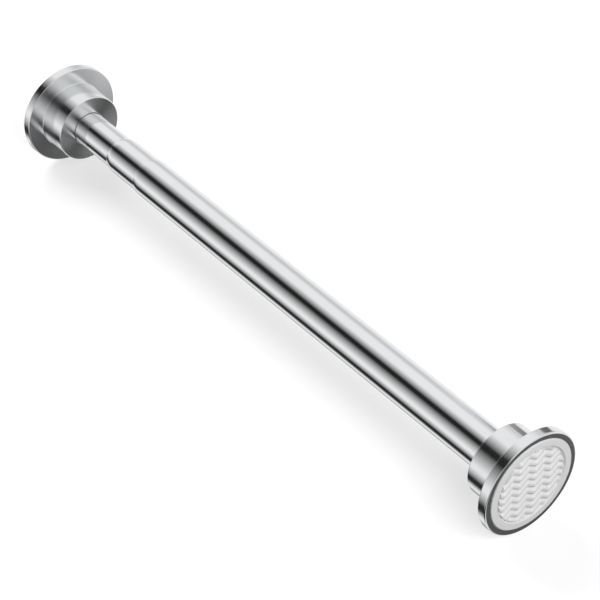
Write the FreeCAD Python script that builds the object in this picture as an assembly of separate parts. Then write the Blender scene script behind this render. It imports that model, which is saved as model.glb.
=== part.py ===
"""Spring tension rod: three telescoping chromed tubes between two padded wall caps.

The thick outer tube carries one cap. A short spring sleeve stands out of its mouth, pushed by a
compression spring, and the thin inner tube telescopes in the sleeve and carries the other cap. A
twist lock on the inner tube's hidden end grips the sleeve's bore and sets the length.

Frame: millimetres, X along the rod from the outer cap's wall face, Z up.
"""

import FreeCAD
import Part

import math
import os

from FreeCAD import Vector

# Tubes
OUTER_TUBE_OD = 25.4
OUTER_TUBE_WALL = 0.4
OUTER_TUBE_LENGTH = 338.8
SLEEVE_GAP = 0.3             # between the outer tube's bore and the sleeve
SLEEVE_WALL = 0.5
SLEEVE_SHOWN = 30.0          # sleeve that stands out of the outer tube's mouth
INNER_TUBE_GAP = 0.5         # between the sleeve's bore and the inner tube
INNER_TUBE_WALL = 0.5
INNER_TUBE_LENGTH = 239.3
INNER_TUBE_SHOWN = 35.5      # inner tube between the sleeve's mouth and its cap
NECK_LENGTH = 5.0            # where a tube's mouth closes in on the next tube
LIP_WALL = 0.3
LIP_CLEARANCE = 0.08
LIP_ROUND = 0.15

# Wall caps
FLANGE_OD = 66.0
FLANGE_THICKNESS = 6.4
HUB_OD = 44.8
HUB_LENGTH = 19.6
COVER_WALL = 2.0
RIM_WIDTH = 3.9              # flat ring of the flange round the pad
RIM_ROUND = 1.0
COVER_EDGE_ROUND = 0.6
COVER_ROOT_ROUND = 0.4
COVER_HOLE_CLEARANCE = 0.25  # round the tube where it enters the hub
COVER_HOLE_ROUND = 0.3
PUSH_FIT = 0.03              # radial room of pieces pushed into one another

# Pads
PAD_THICKNESS = 3.4
PAD_PROUD = 0.6              # pad in front of the flange's rim
PAD_CLEARANCE = 0.1
PAD_EDGE_ROUND = 0.5
PAD_BORDER = 4.2
TREAD_DEPTH = 1.3
TREAD_WALL_RUN = 1.0         # how far the border's inner wall slopes in
RIDGE_PITCH = 5.15
RIDGE_TOP_WIDTH = 1.1
RIDGE_FOOT_WIDTH = 3.7
WAVE_LENGTH = 11.2
WAVE_HEIGHT = 3.8
RIDGE_ROOT = 0.2             # how far a ridge is rooted in the pad
RIDGE_END_GAP = 0.5          # floor left between a ridge's end and the border's wall

# Cap bases
SOCKET_WALL = 2.0
SOCKET_CLEARANCE = 0.1
SOCKET_FLOOR = 2.0
SOCKET_SETBACK = 0.5         # from the socket's mouth to the cover's end wall
BASE_RIBS = 6
BASE_RIB_WIDTH = 2.0
BASE_RIB_CLEARANCE = 0.15
BASE_POCKET_DEPTH = 0.6
BASE_POCKET_MARGIN = 3.0

# Cap screws and washers
SCREW_OD = 4.0
SCREW_LENGTH = 16.0
SCREW_HEAD_OD = 8.0
SCREW_HEAD_HEIGHT = 2.4
SCREW_TIP = 2.0
SCREW_SLOT_WIDTH = 1.0
SCREW_SLOT_LENGTH = 4.4
SCREW_SLOT_DEPTH = 1.3
SCREW_FIT = 0.02
SCREW_HOLE_CLEARANCE = 0.3
HEAD_ROOM = 0.3
HEAD_ROUND = 0.9
WASHER_OD = 9.0
WASHER_THICKNESS = 0.8
WASHER_BORE_CLEARANCE = 0.2
RECESS_CLEARANCE = 0.5

# Tube plugs
PLUG_LENGTH = 22.0
PLUG_GROOVES = 3
PLUG_GROOVE_WIDTH = 1.6
PLUG_GROOVE_DEPTH = 0.8
PLUG_EDGE_CHAMFER = 0.6

# Spring and its seats
SPRING_LENGTH = 60.0
SPRING_OD = 20.4
SPRING_WIRE = 2.2
SPRING_COILS = 7
SPIGOT_CLEARANCE = 0.2
SPIGOT_LENGTH = 9.0
SPIGOT_CHAMFER = 1.0
SEAT_FLANGE = 4.0
SEAT_BODY_LENGTH = 15.0
SEAT_RUNNING = 0.06

# Twist lock
STEM_PLUG_LENGTH = 22.0
STEM_COLLAR = 4.0
STEM_RUNNING = 0.08
STUD_OD = 8.0
THREAD_PLAY = 0.05
EXPANDER_LENGTH = 25.0
EXPANDER_DRAG_GAP = 0.2
EXPANDER_RING = 6.0          # unsplit ring at the stem's collar
EXPANDER_SLOTS = 4
EXPANDER_SLOT_WIDTH = 2.4
EXPANDER_LIP_WALL = 1.6
THRUST_GAP = 0.1
CONE_LENGTH = 13.0
CONE_SEAT_GAP = 0.12
CONE_WING_CLEARANCE = 0.2
CONE_OVERHANG = 1.0          # cone that stands out of the expander when locked
CONE_RELEASE = 3.0           # travel from locked to free
LOCK_SCREW_OD = 3.0
LOCK_SCREW_LENGTH = 9.0
LOCK_SCREW_HEAD_OD = 5.6
LOCK_SCREW_HEAD_HEIGHT = 2.0
LOCK_WASHER_OD = 12.0
LOCK_WASHER_THICKNESS = 1.0

# Radii that follow
OUTER_R = OUTER_TUBE_OD / 2
OUTER_BORE_R = OUTER_R - OUTER_TUBE_WALL
SLEEVE_R = OUTER_BORE_R - SLEEVE_GAP
SLEEVE_BORE_R = SLEEVE_R - SLEEVE_WALL
INNER_R = SLEEVE_BORE_R - INNER_TUBE_GAP
INNER_BORE_R = INNER_R - INNER_TUBE_WALL
FLANGE_R = FLANGE_OD / 2
HUB_R = HUB_OD / 2
HUB_BORE_R = HUB_R - COVER_WALL
POCKET_R = FLANGE_R - RIM_WIDTH
PAD_R = POCKET_R - PAD_CLEARANCE
TREAD_R = PAD_R - PAD_BORDER
SCREW_R = SCREW_OD / 2
RECESS_R = WASHER_OD / 2 + RECESS_CLEARANCE
SPRING_R = SPRING_OD / 2
SPIGOT_R = SPRING_R - SPRING_WIRE - SPIGOT_CLEARANCE
STUD_R = STUD_OD / 2
EXPANDER_R = SLEEVE_BORE_R - EXPANDER_DRAG_GAP
EXPANDER_LIP_R = EXPANDER_R - EXPANDER_LIP_WALL
EXPANDER_THROAT_R = STUD_R + SCREW_HOLE_CLEARANCE

# Stations in a cap, counted inwards from its wall face
RIM_U = PAD_PROUD
FLANGE_BACK_U = RIM_U + FLANGE_THICKNESS
FLANGE_INSIDE_U = FLANGE_BACK_U - COVER_WALL
CAP_DEPTH = FLANGE_BACK_U + HUB_LENGTH
HUB_INSIDE_U = CAP_DEPTH - COVER_WALL
RECESS_U = PAD_THICKNESS + HEAD_ROOM + SCREW_HEAD_HEIGHT + WASHER_THICKNESS
TUBE_SEAT_U = RECESS_U + SOCKET_FLOOR
SOCKET_MOUTH_U = HUB_INSIDE_U - SOCKET_SETBACK

# Stations along the rod
OUTER_START = TUBE_SEAT_U
OUTER_MOUTH = OUTER_START + OUTER_TUBE_LENGTH
SPRING_START = OUTER_START + PLUG_LENGTH
SEAT_FACE = SPRING_START + SPRING_LENGTH
SLEEVE_START = SEAT_FACE + SEAT_FLANGE
SLEEVE_MOUTH = OUTER_MOUTH + SLEEVE_SHOWN
FAR_HUB = SLEEVE_MOUTH + INNER_TUBE_SHOWN
FAR_WALL = FAR_HUB + CAP_DEPTH
INNER_END = FAR_WALL - TUBE_SEAT_U
INNER_START = INNER_END - INNER_TUBE_LENGTH
COLLAR_FACE = INNER_START - STEM_COLLAR
EXPANDER_TOP = COLLAR_FACE - THRUST_GAP
EXPANDER_MOUTH = EXPANDER_TOP - EXPANDER_LENGTH
TAPER_START = EXPANDER_TOP - EXPANDER_RING
CONE_BIG_END = EXPANDER_MOUTH - CONE_OVERHANG
CONE_SMALL_END = CONE_BIG_END + CONE_LENGTH
STUD_END = CONE_BIG_END - CONE_RELEASE - THRUST_GAP

X_AXIS = Vector(1, 0, 0)
Z_AXIS = Vector(0, 0, 1)
ORIGIN = Vector(0, 0, 0)


def point(x, r):
    """A point of a turned profile: station x along the rod, radius r."""
    return Vector(x, 0, r)


def line(a, b):
    return Part.LineSegment(a, b).toShape()


def polyline(points):
    return [line(a, b) for a, b in zip(points, points[1:])]


def turned(edges):
    """A solid turned about the rod's axis from the closed profile that the edges make."""
    face = Part.Face(Part.Wire(edges))
    return face.revolve(ORIGIN, X_AXIS, 360)


def turned_polygon(*stations):
    """A turned solid from (x, r) corners, closed back to the first."""
    corners = [point(x, r) for x, r in stations]
    return turned(polyline(corners + corners[:1]))


def rod(x0, x1, r):
    """A plain cylinder on the rod's axis."""
    return Part.makeCylinder(r, x1 - x0, Vector(x0, 0, 0), X_AXIS)


def tube(x0, x1, outer_r, bore_r):
    return turned_polygon((x0, bore_r), (x0, outer_r), (x1, outer_r), (x1, bore_r))


def rim_edges(solid, x, r):
    """The circular edges of a turned solid at station x and radius r."""
    found = []
    for edge in solid.Edges:
        curve = edge.Curve
        if isinstance(curve, Part.Circle) and abs(curve.Radius - r) < 1e-4:
            if abs(curve.Center.x - x) < 1e-4:
                found.append(edge)
    return found


def rounded(solid, radius, *rims):
    """The solid with the named rims, each (x, r), rounded."""
    edges = [edge for x, r in rims for edge in rim_edges(solid, x, r)]
    return solid.makeFillet(radius, edges)


def chamfered(solid, size, *rims):
    edges = [edge for x, r in rims for edge in rim_edges(solid, x, r)]
    return solid.makeChamfer(size, edges)


def turned_copies(solid, count, first_angle=0.0):
    """Copies of a solid spread evenly about the rod's axis."""
    copies = []
    for i in range(count):
        copy = solid.copy()
        copy.rotate(ORIGIN, X_AXIS, first_angle + 360.0 * i / count)
        copies.append(copy)
    return copies


def neck(x0, r0, x1, r1):
    """The arc that closes a tube's wall in from radius r0 at x0, where it is tangent, to r1 at x1."""
    run = x1 - x0
    drop = r0 - r1
    radius = (run**2 + drop**2) / (2 * drop)
    half_turn = math.asin(run / radius) / 2
    middle = point(x0 + radius * math.sin(half_turn), r0 - radius * (1 - math.cos(half_turn)))
    return Part.Arc(point(x0, r0), middle, point(x1, r1)).toShape()


def necked_tube(start, mouth, outer_r, wall, lip_bore_r):
    """A drawn tube whose mouth is closed in round the tube that slides in it."""
    bore_r = outer_r - wall
    lip_r = lip_bore_r + LIP_WALL
    neck_start = mouth - NECK_LENGTH
    solid = turned([
        line(point(start, bore_r), point(start, outer_r)),
        line(point(start, outer_r), point(neck_start, outer_r)),
        neck(neck_start, outer_r, mouth, lip_r),
        line(point(mouth, lip_r), point(mouth, lip_bore_r)),
        neck(neck_start, bore_r, mouth, lip_bore_r),
        line(point(neck_start, bore_r), point(start, bore_r)),
    ])
    return rounded(solid, LIP_ROUND, (mouth, lip_r))


def outer_tube():
    return necked_tube(OUTER_START, OUTER_MOUTH, OUTER_R, OUTER_TUBE_WALL, SLEEVE_R + LIP_CLEARANCE)


def spring_sleeve():
    return necked_tube(SLEEVE_START, SLEEVE_MOUTH, SLEEVE_R, SLEEVE_WALL, INNER_R + LIP_CLEARANCE)


def inner_tube():
    return tube(INNER_START, INNER_END, INNER_R, INNER_BORE_R)


def cap_cover(tube_r):
    """Flange and hub in one shell, open to the wall, with a hole for the tube in the hub's end."""
    hole_r = tube_r + COVER_HOLE_CLEARANCE
    solid = turned_polygon(
        (RIM_U, POCKET_R), (RIM_U, FLANGE_R), (FLANGE_BACK_U, FLANGE_R), (FLANGE_BACK_U, HUB_R),
        (CAP_DEPTH, HUB_R), (CAP_DEPTH, hole_r), (HUB_INSIDE_U, hole_r), (HUB_INSIDE_U, HUB_BORE_R),
        (FLANGE_INSIDE_U, HUB_BORE_R), (FLANGE_INSIDE_U, POCKET_R))
    solid = rounded(solid, COVER_ROOT_ROUND, (FLANGE_BACK_U, HUB_R))
    solid = rounded(solid, RIM_ROUND, (RIM_U, FLANGE_R))
    solid = rounded(solid, COVER_HOLE_ROUND, (CAP_DEPTH, hole_r))
    return rounded(solid, COVER_EDGE_ROUND, (FLANGE_BACK_U, FLANGE_R), (CAP_DEPTH, HUB_R))


def base_ribs(socket_r):
    """Radial fins that hold the socket in the middle of the hub."""
    reach = HUB_BORE_R - BASE_RIB_CLEARANCE
    fin = Part.makeBox(SOCKET_MOUTH_U - FLANGE_INSIDE_U, BASE_RIB_WIDTH, reach,
                       Vector(FLANGE_INSIDE_U, -BASE_RIB_WIDTH / 2, 0))
    fin = fin.common(tube(FLANGE_INSIDE_U, SOCKET_MOUTH_U, reach, socket_r - SOCKET_WALL / 2))
    return turned_copies(fin, BASE_RIBS)


def base_pockets():
    """Shallow pockets in the base's front, left between its spokes."""
    ring = tube(PAD_THICKNESS, PAD_THICKNESS + BASE_POCKET_DEPTH,
                POCKET_R - BASE_POCKET_MARGIN, RECESS_R + BASE_POCKET_MARGIN)
    spoke = Part.makeBox(BASE_POCKET_DEPTH, BASE_RIB_WIDTH, POCKET_R,
                         Vector(PAD_THICKNESS, -BASE_RIB_WIDTH / 2, 0))
    return ring.cut(turned_copies(spoke, BASE_RIBS))


def cap_base(tube_r):
    """The moulded plate behind the pad, with the socket that the tube's end stands in."""
    bore_r = tube_r + SOCKET_CLEARANCE
    socket_r = bore_r + SOCKET_WALL
    disc_r = POCKET_R - PUSH_FIT
    hole_r = SCREW_R + SCREW_HOLE_CLEARANCE
    solid = turned_polygon(
        (PAD_THICKNESS, RECESS_R), (PAD_THICKNESS, disc_r), (FLANGE_INSIDE_U, disc_r),
        (FLANGE_INSIDE_U, socket_r), (SOCKET_MOUTH_U, socket_r), (SOCKET_MOUTH_U, bore_r),
        (TUBE_SEAT_U, bore_r), (TUBE_SEAT_U, hole_r), (RECESS_U, hole_r), (RECESS_U, RECESS_R))
    return solid.fuse(base_ribs(socket_r)).removeSplitter().cut(base_pockets())


def zigzag(y):
    """Height of a tread ridge's middle line across the pad: a triangle wave through the centre."""
    phase = (y / WAVE_LENGTH + 0.25) % 1.0
    return WAVE_HEIGHT * (0.5 - abs(2 * phase - 1))


def ridge_outline(u, row_z, width):
    """One zigzag band, closed, in the plane at depth u."""
    slope = math.atan2(2 * WAVE_HEIGHT, WAVE_LENGTH)
    half = width / 2 / math.cos(slope)
    turns = math.ceil(2 * TREAD_R / WAVE_LENGTH) + 1
    corners = [WAVE_LENGTH * (k / 2 - 0.25) for k in range(-turns, turns + 2)]
    upper = [Vector(u, y, row_z + zigzag(y) + half) for y in corners]
    lower = [Vector(u, y, row_z + zigzag(y) - half) for y in reversed(corners)]
    return Part.makePolygon(upper + lower + upper[:1])


def tread_ridges():
    """Zigzag ridges with sloping sides, cut off inside the pad's border."""
    side_run = (RIDGE_FOOT_WIDTH - RIDGE_TOP_WIDTH) / TREAD_DEPTH
    root_width = RIDGE_FOOT_WIDTH + side_run * RIDGE_ROOT
    clip = rod(-RIDGE_ROOT, TREAD_DEPTH + RIDGE_ROOT, TREAD_R - TREAD_WALL_RUN - RIDGE_END_GAP)
    rows = math.ceil((TREAD_R + WAVE_HEIGHT) / RIDGE_PITCH)
    ridges = []
    for row in range(-rows, rows + 1):
        top = ridge_outline(0, row * RIDGE_PITCH, RIDGE_TOP_WIDTH)
        root = ridge_outline(TREAD_DEPTH + RIDGE_ROOT, row * RIDGE_PITCH, root_width)
        ridges += Part.makeLoft([root, top], True, True).common(clip).Solids
    return ridges


def cap_pad():
    """Rubber disc with a plain border round a sunk tread of zigzag ridges."""
    floor_r = TREAD_R - TREAD_WALL_RUN
    disc = turned_polygon((PAD_THICKNESS, 0), (PAD_THICKNESS, PAD_R), (0, PAD_R), (0, TREAD_R),
                          (TREAD_DEPTH, floor_r), (TREAD_DEPTH, 0))
    disc = rounded(disc, PAD_EDGE_ROUND, (0, PAD_R))
    return disc.fuse(tread_ridges()).removeSplitter()


def pan_head_screw(seat, length, shank_r, head_r, head_height):
    """A cross-recess screw whose head sits on the station seat and whose shank runs along +X."""
    tip = seat + length
    solid = turned_polygon((seat - head_height, 0), (seat - head_height, head_r), (seat, head_r),
                           (seat, shank_r), (tip - SCREW_TIP, shank_r), (tip, 0))
    solid = rounded(solid, HEAD_ROUND, (seat - head_height, head_r))
    depth = SCREW_SLOT_DEPTH * head_height / SCREW_HEAD_HEIGHT
    reach = SCREW_SLOT_LENGTH * head_r / SCREW_HEAD_OD
    slot = Part.makeBox(depth, SCREW_SLOT_WIDTH, 2 * reach,
                        Vector(seat - head_height, -SCREW_SLOT_WIDTH / 2, -reach))
    return solid.cut(turned_copies(slot, 4))


def cap_screw():
    return pan_head_screw(RECESS_U - WASHER_THICKNESS, SCREW_LENGTH, SCREW_R,
                          SCREW_HEAD_OD / 2, SCREW_HEAD_HEIGHT)


def cap_washer():
    return tube(RECESS_U - WASHER_THICKNESS, RECESS_U, WASHER_OD / 2, SCREW_R + WASHER_BORE_CLEARANCE)


def grooved_plug(start, length, plug_r):
    """A pushed-in plug with ring grooves round its body."""
    solid = chamfered(rod(start, start + length, plug_r), PLUG_EDGE_CHAMFER, (start + length, plug_r))
    step = length / (PLUG_GROOVES + 1)
    for i in range(1, PLUG_GROOVES + 1):
        middle = start + i * step
        solid = solid.cut(tube(middle - PLUG_GROOVE_WIDTH / 2, middle + PLUG_GROOVE_WIDTH / 2,
                               plug_r + 1, plug_r - PLUG_GROOVE_DEPTH))
    return solid


def screw_pilot():
    """The hole that a cap's screw fills in its tube plug."""
    end = RECESS_U - WASHER_THICKNESS + SCREW_LENGTH + THRUST_GAP
    return rod(TUBE_SEAT_U, end, SCREW_R + SCREW_FIT)


def spigot(x0, x1):
    """A stub that keeps the spring's end in the middle; its free end is at x1."""
    return chamfered(rod(min(x0, x1), max(x0, x1), SPIGOT_R), SPIGOT_CHAMFER, (x1, SPIGOT_R))


def outer_end_plug():
    """Closes the outer tube's end and carries the spring's fixed end."""
    body = grooved_plug(OUTER_START, PLUG_LENGTH, OUTER_BORE_R - PUSH_FIT)
    stub = spigot(SPRING_START - 1, SPRING_START + SPIGOT_LENGTH)
    return body.fuse(stub).removeSplitter().cut(screw_pilot())


def inner_end_plug():
    return grooved_plug(TUBE_SEAT_U, PLUG_LENGTH, INNER_BORE_R - PUSH_FIT).cut(screw_pilot())


def spring():
    """Compression spring with both ends ground flat."""
    coil_r = SPRING_R - SPRING_WIRE / 2
    helix = Part.makeHelix(SPRING_LENGTH / SPRING_COILS, SPRING_LENGTH, coil_r)
    centre, tangent = Vector(coil_r, 0, 0), Vector(0, 1, 0)
    section = Part.makeCircle(SPRING_WIRE / 2, centre, tangent)
    section.rotate(centre, tangent, 90)  # the wire's seam stays clear of the ground ends
    wire = Part.Wire(helix).makePipeShell([Part.Wire(section)], True, True)
    wire.rotate(ORIGIN, Vector(0, 1, 0), 90)
    wire.translate(Vector(SPRING_START, 0, 0))
    return wire.common(rod(SPRING_START, SPRING_START + SPRING_LENGTH, SPRING_R + 1))


def sleeve_seat():
    """Plug in the sleeve's hidden end: its flange runs in the outer tube and takes the spring."""
    flange = rod(SEAT_FACE, SLEEVE_START, OUTER_BORE_R - SEAT_RUNNING)
    body = grooved_plug(SLEEVE_START, SEAT_BODY_LENGTH, SLEEVE_BORE_R - PUSH_FIT)
    stub = spigot(SEAT_FACE + 1, SEAT_FACE - SPIGOT_LENGTH)
    return flange.fuse([body, stub]).removeSplitter()


def lock_stem():
    """Plug in the inner tube's hidden end, with the collar that runs in the sleeve and a stud."""
    body = grooved_plug(INNER_START, STEM_PLUG_LENGTH, INNER_BORE_R - PUSH_FIT)
    collar = rod(COLLAR_FACE, INNER_START, SLEEVE_BORE_R - STEM_RUNNING)
    stud = rod(STUD_END, COLLAR_FACE, STUD_R)
    pilot = rod(STUD_END, STUD_END + LOCK_SCREW_LENGTH, LOCK_SCREW_OD / 2 + SCREW_FIT)
    return body.fuse([collar, stud]).removeSplitter().cut(pilot)


def taper_r(x):
    """Radius of the expander's tapered bore at station x."""
    share = (TAPER_START - x) / (TAPER_START - EXPANDER_MOUTH)
    return EXPANDER_THROAT_R + share * (EXPANDER_LIP_R - EXPANDER_THROAT_R)


def lock_expander():
    """Split sleeve with a tapered bore; its fingers spread when the cone is drawn in."""
    solid = turned_polygon((EXPANDER_TOP, EXPANDER_THROAT_R), (EXPANDER_TOP, EXPANDER_R),
                           (EXPANDER_MOUTH, EXPANDER_R), (EXPANDER_MOUTH, EXPANDER_LIP_R),
                           (TAPER_START, EXPANDER_THROAT_R))
    slot = Part.makeBox(TAPER_START - EXPANDER_MOUTH, EXPANDER_SLOT_WIDTH, EXPANDER_R,
                        Vector(EXPANDER_MOUTH, -EXPANDER_SLOT_WIDTH / 2, 0))
    return solid.cut(turned_copies(slot, EXPANDER_SLOTS))


def lock_cone():
    """Tapered nut on the stud; its wings run in the expander's slots."""
    big_r = taper_r(CONE_BIG_END) - CONE_SEAT_GAP
    small_r = taper_r(CONE_SMALL_END) - CONE_SEAT_GAP
    bore_r = STUD_R + THREAD_PLAY
    solid = turned_polygon((CONE_BIG_END, bore_r), (CONE_BIG_END, big_r),
                           (CONE_SMALL_END, small_r), (CONE_SMALL_END, bore_r))
    width = EXPANDER_SLOT_WIDTH - 2 * CONE_WING_CLEARANCE
    wing = Part.makeBox(CONE_LENGTH, width, EXPANDER_R, Vector(CONE_BIG_END, -width / 2, 0))
    wing = wing.common(tube(CONE_BIG_END, CONE_SMALL_END, EXPANDER_R - CONE_WING_CLEARANCE, small_r - 0.5))
    return solid.fuse(turned_copies(wing, EXPANDER_SLOTS)).removeSplitter()


def lock_washer():
    return tube(STUD_END - LOCK_WASHER_THICKNESS, STUD_END, LOCK_WASHER_OD / 2,
                LOCK_SCREW_OD / 2 + WASHER_BORE_CLEARANCE)


def lock_screw():
    return pan_head_screw(STUD_END - LOCK_WASHER_THICKNESS, LOCK_SCREW_LENGTH, LOCK_SCREW_OD / 2,
                          LOCK_SCREW_HEAD_OD / 2, LOCK_SCREW_HEAD_HEIGHT)


def at_far_end(solid):
    """A piece of the outer cap turned round to the inner tube's end of the rod."""
    copy = solid.copy()
    copy.rotate(ORIGIN, Z_AXIS, 180)
    copy.translate(Vector(FAR_WALL, 0, 0))
    return copy


def pieces():
    pad, screw, washer = cap_pad(), cap_screw(), cap_washer()
    return {
        "outer_tube": outer_tube(),
        "outer_end_cover": cap_cover(OUTER_R),
        "outer_end_base": cap_base(OUTER_R),
        "outer_end_pad": pad,
        "outer_end_plug": outer_end_plug(),
        "outer_end_washer": washer,
        "outer_end_screw": screw,
        "spring": spring(),
        "spring_sleeve": spring_sleeve(),
        "sleeve_seat": sleeve_seat(),
        "lock_expander": lock_expander(),
        "lock_cone": lock_cone(),
        "lock_stem": lock_stem(),
        "lock_washer": lock_washer(),
        "lock_screw": lock_screw(),
        "inner_tube": inner_tube(),
        "inner_end_cover": at_far_end(cap_cover(INNER_R)),
        "inner_end_base": at_far_end(cap_base(INNER_R)),
        "inner_end_pad": at_far_end(pad),
        "inner_end_plug": at_far_end(inner_end_plug()),
        "inner_end_washer": at_far_end(washer),
        "inner_end_screw": at_far_end(screw),
    }


os.makedirs("parts", exist_ok=True)
for name, solid in pieces().items():
    solid.exportStep(f"parts/{name}.step")
    print(f"{name}: {len(solid.Solids)} solid, valid {solid.isValid()}, {solid.Volume:.1f} mm3")
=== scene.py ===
"""Spring tension rod: the looks of its pieces and a plain studio stage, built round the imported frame.

Laid out as an add-on and run as a script. Node trees grow the tubes, cap covers, wall pads and spring from
the frame's own sizes. The pieces hidden inside keep their solids and get finishes. Lengths are in metres,
X runs along the rod from the outer cap's wall face, and Z is up.
"""

import math

import bpy
from bpy.props import FloatProperty, FloatVectorProperty, IntProperty, PointerProperty
from bpy.types import NodeSocket, Operator, Panel, PropertyGroup
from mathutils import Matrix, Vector


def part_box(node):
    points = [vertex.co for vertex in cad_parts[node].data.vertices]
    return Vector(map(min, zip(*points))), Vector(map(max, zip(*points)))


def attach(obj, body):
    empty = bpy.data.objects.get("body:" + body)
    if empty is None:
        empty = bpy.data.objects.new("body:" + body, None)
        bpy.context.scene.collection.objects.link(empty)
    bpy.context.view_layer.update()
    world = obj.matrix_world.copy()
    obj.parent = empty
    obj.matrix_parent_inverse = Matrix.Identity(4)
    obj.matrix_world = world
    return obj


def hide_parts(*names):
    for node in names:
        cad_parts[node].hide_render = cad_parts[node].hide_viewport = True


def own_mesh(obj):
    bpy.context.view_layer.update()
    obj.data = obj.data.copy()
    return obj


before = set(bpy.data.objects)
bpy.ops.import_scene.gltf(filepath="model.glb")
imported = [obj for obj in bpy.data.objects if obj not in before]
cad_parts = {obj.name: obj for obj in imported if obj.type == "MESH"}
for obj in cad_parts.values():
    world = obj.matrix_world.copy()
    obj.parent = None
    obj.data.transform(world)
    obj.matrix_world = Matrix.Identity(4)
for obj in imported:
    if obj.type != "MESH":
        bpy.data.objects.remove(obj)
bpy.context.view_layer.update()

bl_info = {
    "name": "Spring Tension Rod",
    "version": (1, 0, 0),
    "blender": (4, 5, 0),
    "location": "3D View > Sidebar > Tension Rod",
    "description": "Dresses a spring tension rod: chromed tubes, padded wall caps, spring and studio stage",
    "category": "Object",
}

OUTER_LOW, OUTER_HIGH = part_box("outer_tube")
SLEEVE_LOW, SLEEVE_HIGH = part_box("spring_sleeve")
INNER_LOW, INNER_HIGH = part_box("inner_tube")
COVER_LOW, COVER_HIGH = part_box("outer_end_cover")
PAD_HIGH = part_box("outer_end_pad")[1]
SPRING_LOW, SPRING_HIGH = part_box("spring")
FAR_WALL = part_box("inner_end_pad")[1].x

# Turned outlines
CUT_EDGE = 0.0001  # rounding of a cut tube's outer edge
CUT_BORE_EDGE = 0.00008  # rounding of its inner edge
LIP_BORE_EDGE = 0.00005  # rounding inside a necked mouth's lip
NECK_LEAD = 0.0003  # from where a neck begins back to the last point of the straight tube
SHELL_EDGE = 0.0002  # rounding of a cover's inner edges
SHELL_CORNER = 0.0003  # rounding of its hollow inner corners
PAD_BACK_EDGE = 0.0003  # rounding of a pad's back edge
CREASE_ANGLE = math.radians(28)  # edges that fold more than this stay sharp
ONE_POINT = 1e-6  # points closer than this become one

# Tread of the wall pads
CLEAR_CUT = 0.00003  # how far the ridges' relief overshoots the pad's front and the tread's floor
FLANK_STEPS = 10  # stations from a crest to the groove beside it
FLANK_EASE = 0.75  # 1 gives a straight flank, less rounds it over from the crest
CREST_SHARE = 0.1  # share of those stations that lies on the crest, and again on the groove's floor
RELIEF_WIDTH = 2.1  # width of the ridges' relief, in tread radii
RELIEF_THICKNESS = 4.0  # its thickness, in tread depths
CLIP_THICKNESS = 6.0  # thickness of the disc that cuts it off round, in tread depths
CUT_STANDOFF = 2.0  # how far the tread's cutter stands out in front of the pad, in tread depths

# Surface patterns
NOISE_LOW, NOISE_HIGH = 0.3, 0.7  # between these lies most of a noise
LINE_SLANT = 1.37  # makes the polishing lines run on across faces that are square to the rod
SHEEN_STRETCH = 0.95  # how strongly a turned face spreads what it mirrors across its lines
LINE_GLOSS, HAZE_GLOSS = 0.6, 0.4  # what the polishing lines and the haze each give to the roughness
METAL_CLOUDING = 0.04  # how much darker the haze makes a metal
MOULDED_CLOUDING = 0.05  # how much darker the clouding makes rubber or plastic
FACE_MARK = "turned_face"  # attribute that rises to 1 where a turned piece faces away from the wall


def length(name, description, default):
    return FloatProperty(name=name, description=description, default=default, min=0.0, unit="LENGTH",
                         precision=5)


def share(name, description, default):
    return FloatProperty(name=name, description=description, default=default, min=0.0, max=1.0,
                         subtype="FACTOR")


def whole(name, description, default, least):
    return IntProperty(name=name, description=description, default=default, min=least)


def colour(name, description, default):
    return FloatVectorProperty(name=name, description=description, default=default, min=0.0, max=1.0,
                               size=3, subtype="COLOR")


class TubeSizes(PropertyGroup):
    """Sizes of the three telescoping tubes that the frame's boxes don't give."""

    outer_wall: length("Outer Wall", "Wall of the thick outer tube", 0.0004)
    sleeve_wall: length("Sleeve Wall", "Wall of the spring sleeve", 0.0005)
    inner_wall: length("Inner Wall", "Wall of the thin inner tube", 0.0005)
    neck_length: length("Neck Length", "Length over which a mouth closes in on the next tube", 0.005)
    lip_wall: length("Lip Wall", "Thickness of the wall at a mouth's lip", 0.0003)
    lip_clearance: length("Lip Clearance", "Room between a lip and the tube that slides in it", 0.00008)
    lip_round: length("Lip Rounding", "Rounding of a lip's outer corner", 0.00015)
    segments: whole("Segments", "Faces round a turned piece", 256, 16)


class CapSizes(PropertyGroup):
    """Sizes of the stepped cover at each end."""

    flange_thickness: length("Flange Thickness", "From the rim to the flange's back", 0.0064)
    rim_width: length("Rim Width", "Flat ring of the flange round the pad", 0.0039)
    hub_diameter: length("Hub Diameter", "Outside of the hub", 0.0448)
    cover_wall: length("Cover Wall", "Wall of the cover's shell", 0.002)
    rim_round: length("Rim Rounding", "Rounding of the rim towards the wall", 0.001)
    edge_round: length("Edge Rounding", "Rounding of the flange's back and of the hub's end", 0.0006)
    root_round: length("Root Rounding", "Hollow corner where the hub meets the flange", 0.0004)
    hole_clearance: length("Hole Clearance", "Room round the tube where it enters the hub", 0.00025)
    hole_round: length("Hole Rounding", "Rounding of the hub's hole", 0.0003)
    back_fall: share("Back Fall", "Slope by which the flange's back falls off towards its edge", 0.036)
    hub_dish: share("Hub Dish", "Slope by which the hub's end is dished towards its hole", 0.005)


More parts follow.
